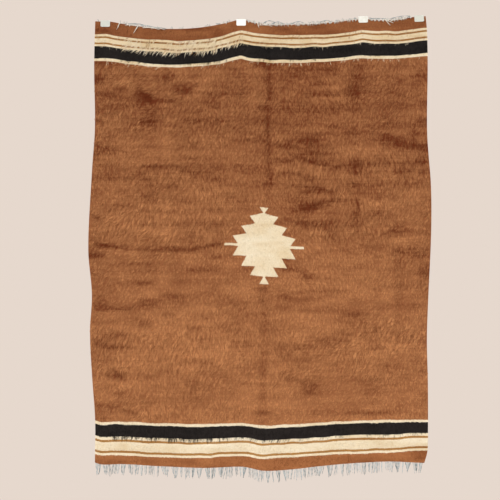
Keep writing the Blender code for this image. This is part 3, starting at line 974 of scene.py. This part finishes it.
def clip_section(shortened):
    """Points round a clip's folded sheet, seen from its side, as (y, z) from the cloth's edge."""
    bend_steps = 20
    inner = CLOTH_THICK / 2 + GAP
    outer = inner + CLIP_SHEET
    shoulder = math.sqrt(inner**2 - (CLOTH_THICK / 2) ** 2)
    bend = STRIP_HEIGHT + 2 * GAP - shoulder
    tip = -JAW_DROP + shortened
    turn = tip + 2 * JAW_LIP
    arc = [math.pi * k / bend_steps for k in range(bend_steps + 1)]
    points = [(outer, -BACK_DROP)]
    points += [(outer * math.cos(a), bend + outer * math.sin(a)) for a in arc]
    points += [(-outer - 0.6 * JAW_LIP * t**2, turn + (tip - turn) * t) for t in (0.0, 0.25, 0.5, 0.75, 1.0)]
    points += [(-inner - 0.6 * JAW_LIP * t**2, turn + (tip - turn) * t) for t in (1.0, 0.75, 0.5, 0.25, 0.0)]
    points += [(-inner * math.cos(a), bend + inner * math.sin(a)) for a in arc]
    points += [(inner, -BACK_DROP)]
    return points


CLIP_TONES = (0.25, 1.0, 0.65, 0.35)  # from the left, how pale each clip is, from grey up to white


def make_clip(number, row, material):
    """A folded sheet with rounded corners and softened edges."""
    across, tilt = row[0] * MM, row[2]
    height = float(edge_height(np.array([across]), np.zeros(1))[0]) + row[3] * MM
    steps = [math.pi / 2 * k / 8 for k in range(9)]
    half = CLIP_WIDTH / 2
    ends = [(half - JAW_CORNER * (1 - math.sin(a)), JAW_CORNER * (1 - math.cos(a))) for a in steps]
    cuts = [(-place, short) for place, short in reversed(ends)] + ends
    bm = bmesh.new()
    rings = []
    for place, shortened in cuts:
        rings.append([bm.verts.new((place, y, z)) for y, z in clip_section(shortened)])
    bm.faces.new(rings[0])
    bm.faces.new(rings[-1])
    for ring, after in zip(rings, rings[1:]):
        for k in range(len(ring)):
            bm.faces.new((ring[k - 1], ring[k], after[k], after[k - 1]))
    bmesh.ops.recalc_face_normals(bm, faces=bm.faces)
    turn = Matrix.Translation((across, 0.0, height)) @ Matrix.Rotation(math.radians(tilt), 4, "Y")
    bm.transform(turn)
    mesh = bpy.data.meshes.new(f"folded_clip_{number}")
    bm.to_mesh(mesh)
    bm.free()
    tones = mesh.attributes.new("tone", "FLOAT", "POINT")
    tones.data.foreach_set("value", [CLIP_TONES[number - 1]] * len(mesh.vertices))
    mesh.shade_smooth()
    mesh.set_sharp_from_angle(angle=math.radians(35))
    clip = new_piece(f"folded_clip_{number}", mesh, material)
    soften = clip.modifiers.new("soften", "BEVEL")
    soften.width = 0.35 * MM
    soften.segments = 2
    soften.limit_method = "ANGLE"
    soften.angle_limit = math.radians(50)
    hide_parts(f"clip_{number}")
    return clip


# The materials


def add(tree, kind, wires=None, **settings):
    """Adds a node with its settings, and its sockets' values or links."""
    node = tree.nodes.new(kind)
    for name, value in settings.items():
        setattr(node, name, value)
    for socket, value in (wires or {}).items():
        if isinstance(value, bpy.types.NodeSocket):
            tree.links.new(value, node.inputs[socket])
        else:
            node.inputs[socket].default_value = value
    return node


def fill_ramp(node, stops, interpolation="LINEAR"):
    ramp = node.color_ramp
    ramp.interpolation = interpolation
    for place, colour in stops[1:-1]:
        ramp.elements.new(place).color = colour
    ramp.elements[0].position, ramp.elements[0].color = stops[0]
    ramp.elements[-1].position, ramp.elements[-1].color = stops[-1]
    return node.outputs["Color"]


def band_stops(bands, lit):
    stops, inner = [], 0.0
    for name, width in bands:
        stops.append((inner * MM / BAND_SPAN, srgb(WOOLS[name][lit])))
        inner += width
    stops.append((inner * MM / BAND_SPAN, srgb(WOOLS["field"][lit])))
    return stops


def woven_colours():
    """The bands and the stepped diamond in the wool's own colours, from places on the loom, each mixed by the tone
    from its painted shade to its painted light.
    """
    group = bpy.data.node_groups.new("woven colours", "ShaderNodeTree")
    group.interface.new_socket("Weave", in_out="INPUT", socket_type="NodeSocketVector")
    group.interface.new_socket("Tone", in_out="INPUT", socket_type="NodeSocketFloat")
    group.interface.new_socket("Color", in_out="OUTPUT", socket_type="NodeSocketColor")
    given = add(group, "NodeGroupInput").outputs

    def sum_of(operation, *values):
        return add(group, "ShaderNodeMath", dict(enumerate(values)), operation=operation).outputs[0]

    place = add(group, "ShaderNodeSeparateXYZ", {0: given["Weave"]}).outputs
    across, drop = place[0], place[2]
    from_top = sum_of("DIVIDE", drop, BAND_SPAN)
    from_hem = sum_of("DIVIDE", sum_of("SUBTRACT", CLOTH_DROP, drop), BAND_SPAN)
    low_half = sum_of("GREATER_THAN", drop, CLOTH_DROP / 2)
    # the diamond
    aside = sum_of("ABSOLUTE", sum_of("SUBTRACT", across, DIAMOND_AT[0]))
    below = sum_of("SUBTRACT", drop, DIAMOND_AT[1])
    rise = sum_of("ABSOLUTE", below)
    leant = sum_of("MULTIPLY_ADD", aside, UPPER_LEAN, -UPPER_SHIFT - UPPER_START)
    upper = sum_of("DIVIDE", sum_of("MULTIPLY_ADD", rise, UPPER_STRETCH, leant), UPPER_STEP)
    lower = sum_of("DIVIDE", sum_of("SUBTRACT", rise, LOWER_START), LOWER_STEP)
    is_lower = sum_of("GREATER_THAN", below, 0.0)
    steps = sum_of("ADD", sum_of("MULTIPLY", lower, is_lower), sum_of("MULTIPLY", upper, sum_of("SUBTRACT", 1.0, is_lower)))
    whole = sum_of("FLOOR", steps)
    part = sum_of("MULTIPLY", sum_of("SUBTRACT", steps, whole), sum_of("GREATER_THAN", steps, 0.0))
    half = sum_of("MULTIPLY_ADD", sum_of("MAXIMUM", whole, 0.0), -STEP_FALL, STEP_BASE)
    half = sum_of("MULTIPLY_ADD", part, STEP_FLARE, half)
    ends = sum_of("MULTIPLY_ADD", is_lower, DIAMOND_FOOT - DIAMOND_TOP, DIAMOND_TOP)
    half = sum_of("MAXIMUM", half, NECK_HALF)
    stepped = sum_of("MULTIPLY", sum_of("LESS_THAN", aside, half), sum_of("LESS_THAN", rise, ends))
    from_arm = sum_of("ABSOLUTE", sum_of("ADD", below, ARM_RISE))
    arm = sum_of("MULTIPLY", sum_of("LESS_THAN", from_arm, ARM_HALF), sum_of("LESS_THAN", aside, ARM_REACH))
    diamond = sum_of("MAXIMUM", stepped, arm)
    shades = []
    for lit in (0, 1):
        top = fill_ramp(add(group, "ShaderNodeValToRGB", {0: from_top}), band_stops(TOP_BANDS, lit), "CONSTANT")
        hem = fill_ramp(add(group, "ShaderNodeValToRGB", {0: from_hem}), band_stops(BOTTOM_BANDS, lit), "CONSTANT")
        mixed = add(group, "ShaderNodeMix", {0: low_half, 6: top, 7: hem}, data_type="RGBA").outputs[2]
        cream = srgb(WOOLS["cream"][lit])
        shades.append(add(group, "ShaderNodeMix", {0: diamond, 6: mixed, 7: cream}, data_type="RGBA").outputs[2])
    # painted light and shade: the tone mixes each wool from its shaded to its lit colour
    toned = add(group, "ShaderNodeMix", {0: given["Tone"], 6: shades[0], 7: shades[1]}, data_type="RGBA").outputs[2]
    add(group, "NodeGroupOutput", {0: toned})
    return group


def new_material(name):
    material = bpy.data.materials.new(name)
    material.use_nodes = True
    tree = material.node_tree
    tree.nodes.clear()
    shader = add(tree, "ShaderNodeBsdfPrincipled")
    add(tree, "ShaderNodeOutputMaterial", {"Surface": shader.outputs[0]})
    return material, tree, shader


def woven_hair(colours):
    """Goat hair woven weft-faced: fine level ribs over the upright warps, dull, with hair lying on it."""
    material, tree, shader = new_material("goat hair, woven weft-faced")
    weave = add(tree, "ShaderNodeAttribute", attribute_name="weave").outputs["Vector"]
    tone = add(tree, "ShaderNodeAttribute", attribute_name="tone").outputs["Fac"]
    fine = add(tree, "ShaderNodeTexNoise", {"Vector": weave, "Scale": 260.0, "Detail": 3.0}).outputs[0]
    tone = add(tree, "ShaderNodeMath", {0: fine, 1: 0.5, 2: tone}, operation="MULTIPLY_ADD").outputs[0]
    tone = add(tree, "ShaderNodeMath", {0: tone, 1: 0.25}, operation="SUBTRACT", use_clamp=True).outputs[0]
    group = add(tree, "ShaderNodeGroup", node_tree=colours)
    tree.links.new(weave, group.inputs["Weave"])
    tree.links.new(tone, group.inputs["Tone"])
    tree.links.new(group.outputs[0], shader.inputs["Base Color"])
    # wefts lie 1.8 mm apart, and the warps under them 4.5 mm apart
    wefts = add(tree, "ShaderNodeTexWave", {"Vector": weave, "Scale": 0.314 / (1.8 * MM), "Distortion": 0.6}, bands_direction="Z")
    warps = add(tree, "ShaderNodeTexWave", {"Vector": weave, "Scale": 0.314 / (4.5 * MM), "Distortion": 0.4}, bands_direction="X")
    ribs = add(tree, "ShaderNodeMath", {0: warps.outputs["Fac"], 1: 0.6, 2: wefts.outputs["Fac"]}, operation="MULTIPLY_ADD")
    bump = add(tree, "ShaderNodeBump", {"Height": ribs.outputs[0], "Distance": 0.5 * MM, "Strength": 0.8})
    tree.links.new(bump.outputs[0], shader.inputs["Normal"])
    shader.inputs["Roughness"].default_value = 0.92
    shader.inputs["Specular IOR Level"].default_value = 0.25
    return material


def rib_and_row_shade(tree):
    """Painted shade of the weft ribs and the rows of tufts under the hair, as level streaks some 6 mm wide, not quite
    straight.
    """
    place = add(tree, "ShaderNodeTexCoord").outputs["Object"]
    waver = add(tree, "ShaderNodeTexNoise", {"Vector": place, "Scale": 5.0, "Detail": 1.0}).outputs[0]
    parts = add(tree, "ShaderNodeSeparateXYZ", {0: place}).outputs
    high = add(tree, "ShaderNodeMath", {0: waver, 1: 0.03, 2: parts[2]}, operation="MULTIPLY_ADD").outputs[0]
    across = add(tree, "ShaderNodeMath", {0: parts[0], 1: 1 / 0.11}, operation="MULTIPLY").outputs[0]
    high = add(tree, "ShaderNodeMath", {0: high, 1: 1 / (6 * MM)}, operation="MULTIPLY").outputs[0]
    at = add(tree, "ShaderNodeCombineXYZ", {0: across, 2: high}).outputs[0]
    return add(tree, "ShaderNodeTexNoise", {"Vector": at, "Scale": 1.0, "Detail": 2.0}).outputs[0]


def brushed_hair(colours):
    """Goat hair brushed up out of the weave: soft locks with painted shade where they root, hardly glossy."""
    material, tree, shader = new_material("goat hair, brushed nap")
    weave = add(tree, "ShaderNodeAttribute", attribute_name="weave").outputs["Vector"]
    tone = add(tree, "ShaderNodeAttribute", attribute_name="tone").outputs["Fac"]
    along = add(tree, "ShaderNodeAttribute", attribute_name="along").outputs["Fac"]
    # painted shade towards the roots of the locks, lighter towards their tips
    tone = add(tree, "ShaderNodeMath", {0: along, 1: 0.24, 2: tone}, operation="MULTIPLY_ADD").outputs[0]
    # painted shade of the weft ribs and the rows of tufts, as level streaks
    tone = add(tree, "ShaderNodeMath", {0: rib_and_row_shade(tree), 1: 0.55, 2: tone}, operation="MULTIPLY_ADD").outputs[0]
    tone = add(tree, "ShaderNodeMath", {0: tone, 1: 0.12 + 0.275}, operation="SUBTRACT", use_clamp=True).outputs[0]
    group = add(tree, "ShaderNodeGroup", node_tree=colours)
    tree.links.new(weave, group.inputs["Weave"])
    tree.links.new(tone, group.inputs["Tone"])
    tree.links.new(group.outputs[0], shader.inputs["Base Color"])
    shader.inputs["Roughness"].default_value = 0.7
    shader.inputs["Specular IOR Level"].default_value = 0.12
    return material


def warp_yarn():
    """Goat hair and wool spun to a pale grey two-ply yarn, cut and fraying: dull, uneven in tone."""
    material, tree, shader = new_material("warp yarn, spun grey-white")
    tone = add(tree, "ShaderNodeAttribute", attribute_name="tone").outputs["Fac"]
    place = add(tree, "ShaderNodeTexCoord").outputs["Object"]
    fine = add(tree, "ShaderNodeTexNoise", {"Vector": place, "Scale": 700.0, "Detail": 2.0}).outputs[0]
    tone = add(tree, "ShaderNodeMath", {0: fine, 1: 0.5, 2: tone}, operation="MULTIPLY_ADD").outputs[0]
    tone = add(tree, "ShaderNodeMath", {0: tone, 1: 0.25}, operation="SUBTRACT", use_clamp=True).outputs[0]
    stops = [(0.0, srgb("#858F91")), (0.45, srgb("#AEB8BB")), (0.8, srgb("#D5D8D6")), (1.0, srgb("#EEE6D8"))]
    colour = fill_ramp(add(tree, "ShaderNodeValToRGB", {0: tone}), stops)
    tree.links.new(colour, shader.inputs["Base Color"])
    bump = add(tree, "ShaderNodeBump", {"Height": fine, "Distance": 0.3 * MM, "Strength": 0.5})
    tree.links.new(bump.outputs[0], shader.inputs["Normal"])
    shader.inputs["Roughness"].default_value = 0.9
    shader.inputs["Specular IOR Level"].default_value = 0.25
    return material


def clip_plastic():
    """Polypropylene, moulded as a thin strip and folded: white, faintly pearly, with a soft gloss."""
    material, tree, shader = new_material("polypropylene, moulded white")
    place = add(tree, "ShaderNodeTexCoord").outputs["Object"]
    cloudy = add(tree, "ShaderNodeTexNoise", {"Vector": place, "Scale": 60.0, "Detail": 3.0}).outputs[0]
    tone = add(tree, "ShaderNodeAttribute", attribute_name="tone").outputs["Fac"]
    tone = add(tree, "ShaderNodeMath", {0: cloudy, 1: 0.4, 2: tone}, operation="MULTIPLY_ADD").outputs[0]
    stops = [(0.3, srgb("#C6CBC4")), (0.75, srgb("#DAD8CC")), (1.0, srgb("#FBFBF6"))]
    colour = fill_ramp(add(tree, "ShaderNodeValToRGB", {0: tone}), stops)
    tree.links.new(colour, shader.inputs["Base Color"])
    grain = add(tree, "ShaderNodeTexNoise", {"Vector": place, "Scale": 2500.0, "Detail": 1.0}).outputs[0]
    bump = add(tree, "ShaderNodeBump", {"Height": grain, "Distance": 0.02 * MM, "Strength": 0.4})
    tree.links.new(bump.outputs[0], shader.inputs["Normal"])
    shader.inputs["Roughness"].default_value = 0.38
    shader.inputs["IOR"].default_value = 1.49
    return material


# The room, the light and the camera


def make_stage():
    """A plain pale floor that goes over into the surroundings before its rim."""
    bpy.ops.mesh.primitive_circle_add(vertices=128, radius=3.3, fill_type="NGON", location=(0.0, 0.0, -2.6))
    floor = bpy.context.object
    floor.name = "floor"
    material, tree, shader = new_material("floor, pale and matt")
    shader.inputs["Base Color"].default_value = srgb("#EDE4DC")
    shader.inputs["Roughness"].default_value = 0.9
    place = add(tree, "ShaderNodeTexCoord").outputs["Object"]
    away = add(tree, "ShaderNodeVectorMath", {0: place}, operation="LENGTH").outputs["Value"]
    fade = add(tree, "ShaderNodeMapRange", {0: away, 1: 1.6, 2: 3.1}, interpolation_type="SMOOTHSTEP")
    glow = add(tree, "ShaderNodeEmission", {"Color": srgb(BACKGROUND)})
    mixed = add(tree, "ShaderNodeMixShader", {0: fade.outputs[0], 1: shader.outputs[0], 2: glow.outputs[0]})
    out = next(node for node in tree.nodes if node.type == "OUTPUT_MATERIAL")
    tree.links.new(mixed.outputs[0], out.inputs["Surface"])
    floor.data.materials.append(material)


def make_light():
    world = bpy.data.worlds.new("room")
    bpy.context.scene.world = world
    world.use_nodes = True
    tree = world.node_tree
    tree.nodes.clear()
    seen = add(tree, "ShaderNodeLightPath").outputs["Is Camera Ray"]
    lit = add(tree, "ShaderNodeBackground", {"Color": srgb("#F8F3EC"), "Strength": 0.62})
    shown = add(tree, "ShaderNodeBackground", {"Color": srgb(BACKGROUND)})
    mixed = add(tree, "ShaderNodeMixShader", {0: seen, 1: lit.outputs[0], 2: shown.outputs[0]})
    add(tree, "ShaderNodeOutputWorld", {0: mixed.outputs[0]})
    for name, towards, strength, softness in (
        ("window", (0.42, 0.75, -0.55), 1.9, 18.0),
        ("fill", (-0.7, 0.8, 0.0), 0.35, 40.0),
        ("behind", (-0.3, -0.9, -0.4), 1.0, 30.0),
    ):
        light = bpy.data.lights.new(name, "SUN")
        light.energy = strength
        light.angle = math.radians(softness)
        lamp = bpy.data.objects.new(name, light)
        bpy.context.collection.objects.link(lamp)
        lamp.rotation_euler = Vector(towards).to_track_quat("-Z", "Y").to_euler()


def make_camera():
    data = bpy.data.cameras.new("camera")
    data.lens = 36.0 * 6.5 / 2.165
    camera = bpy.data.objects.new("camera", data)
    bpy.context.collection.objects.link(camera)
    camera.location = (-0.0498, -6.5, -0.9786)
    camera.rotation_euler = (math.pi / 2, 0.0, 0.0)
    bpy.context.scene.camera = camera
    bpy.context.scene.view_settings.view_transform = "Standard"


make_camera()
make_light()
make_stage()
colours = woven_colours()
warp = warp_yarn()
plastic = clip_plastic()
cloth = make_cloth(woven_hair(colours))
nap = make_nap(brushed_hair(colours))
fringes = [make_fringe_bottom(warp), make_fringe_top(warp)]
clips = [make_clip(number, row, plastic) for number, row in enumerate(EDGE[1:-1], start=1)]
